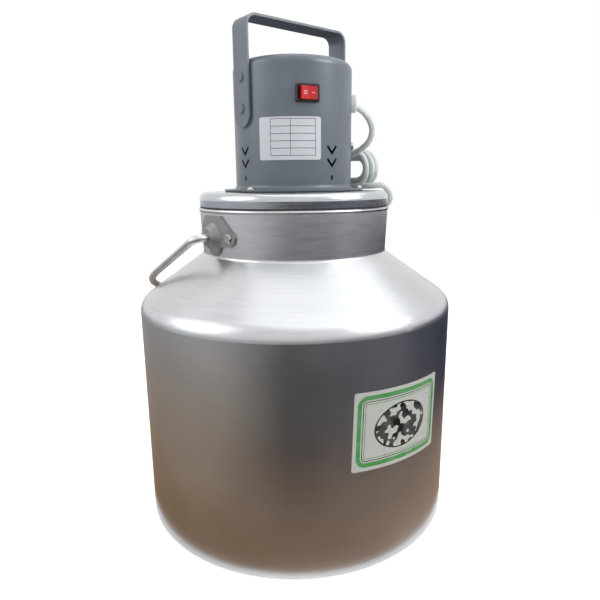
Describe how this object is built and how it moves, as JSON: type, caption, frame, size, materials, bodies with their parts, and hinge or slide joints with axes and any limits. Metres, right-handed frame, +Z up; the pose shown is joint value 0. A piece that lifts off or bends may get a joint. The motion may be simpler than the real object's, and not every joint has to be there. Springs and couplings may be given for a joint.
{
  "type": "electric butter churn",
  "caption": "Spun metal can with a wire bail and a lift-off motor head: strap handle, rocker switch, mains cord, and a propeller agitator on a long shaft.",
  "frame": {"origin": "On the table under the can's axis, in the plane of the can's foot", "axes": "+Z up along the can's axis; X through the bail's pivots; -Y is the side with the picture label"},
  "size_m": [0.304, 0.3117, 0.465],
  "materials": {
    "can_metal": "spun and brushed",
    "lid_metal": "polished",
    "ear_metal": "satin stamped steel",
    "rivet_metal": "plain",
    "bail_wire": "drawn wire, zinc plated",
    "housing_paint": "silver-grey stoved enamel",
    "collar_steel": "rolled stainless sheet",
    "seal_rubber": "matt black",
    "bush_nylon": "natural nylon",
    "label_foil": "printed foil",
    "picture_foil": "printed foil",
    "switch_black": "moulded nylon",
    "switch_red": "moulded polycarbonate",
    "terminal_brass": "plain",
    "cord_pvc": "soft PVC",
    "plug_pvc": "moulded PVC",
    "pin_nickel": "nickel plated",
    "screw_steel": "zinc plated",
    "block_nylon": "natural nylon",
    "lamination": "stacked sheet",
    "copper_wire": "enamelled copper",
    "cast_metal": "die cast",
    "bearing_steel": "ground",
    "capacitor_case": "moulded case",
    "fan_nylon": "moulded nylon",
    "stainless": "turned stainless"
  },
  "bodies": {
    "can": {"can_body": "can_metal", "can_shoulder": "can_metal", "ear_left": "ear_metal", "ear_right": "ear_metal", "ear_rivets": "rivet_metal", "picture_label": "picture_foil"},
    "bail": {"bail_handle": "bail_wire"},
    "head": {"lid": "lid_metal", "lid_collar": "collar_steel", "lid_seal": "seal_rubber", "shaft_bush": "bush_nylon", "housing_gasket": "seal_rubber", "motor_housing": "housing_paint", "flange_screws": "screw_steel", "flange_nuts": "screw_steel", "carry_strap": "housing_paint", "strap_rivets": "rivet_metal", "rating_label": "label_foil", "switch_frame": "switch_black", "switch_terminals": "terminal_brass", "cord_gland": "cord_pvc", "terminal_block": "block_nylon", "block_screw": "screw_steel", "stator": "lamination", "stator_windings": "copper_wire", "lower_bracket": "cast_metal", "upper_bracket": "cast_metal", "lower_bearing": "bearing_steel", "upper_bearing": "bearing_steel", "tie_bolts": "screw_steel", "tie_nuts": "screw_steel", "motor_spacers": "screw_steel", "capacitor": "capacitor_case", "power_cord": "cord_pvc", "cord_coil": "cord_pvc", "cord_tail": "cord_pvc", "plug_body": "plug_pvc", "plug_pins": "pin_nickel"},
    "rocker": {"switch_rocker": "switch_red"},
    "rotor": {"rotor_core": "lamination", "rotor_end_rings": "cast_metal", "motor_shaft": "stainless", "cooling_fan": "fan_nylon", "shaft_coupling": "stainless", "coupling_screws": "screw_steel", "agitator_shaft": "stainless", "impeller": "stainless", "impeller_nut": "stainless"}
  },
  "joints": [
    {"name": "head_lift", "type": "slide", "parent": "can", "child": "head", "axis": [0, 0, 1], "range_m": [0, 0.3]},
    {"name": "bail_swing", "type": "hinge", "parent": "can", "child": "bail", "pos_m": [0, 0, 0.2768], "axis": [1, 0, 0], "range_deg": [0, 110]},
    {"name": "agitator_spin", "type": "hinge", "parent": "head", "child": "rotor", "pos_m": [0, 0, 0.3], "axis": [0, 0, 1], "continuous": true},
    {"name": "switch_rock", "type": "hinge", "parent": "head", "child": "rocker", "pos_m": [-0.02329, -0.04927, 0.3978], "axis": [0, 0, 1], "range_deg": [-20, 0]}
  ]
}
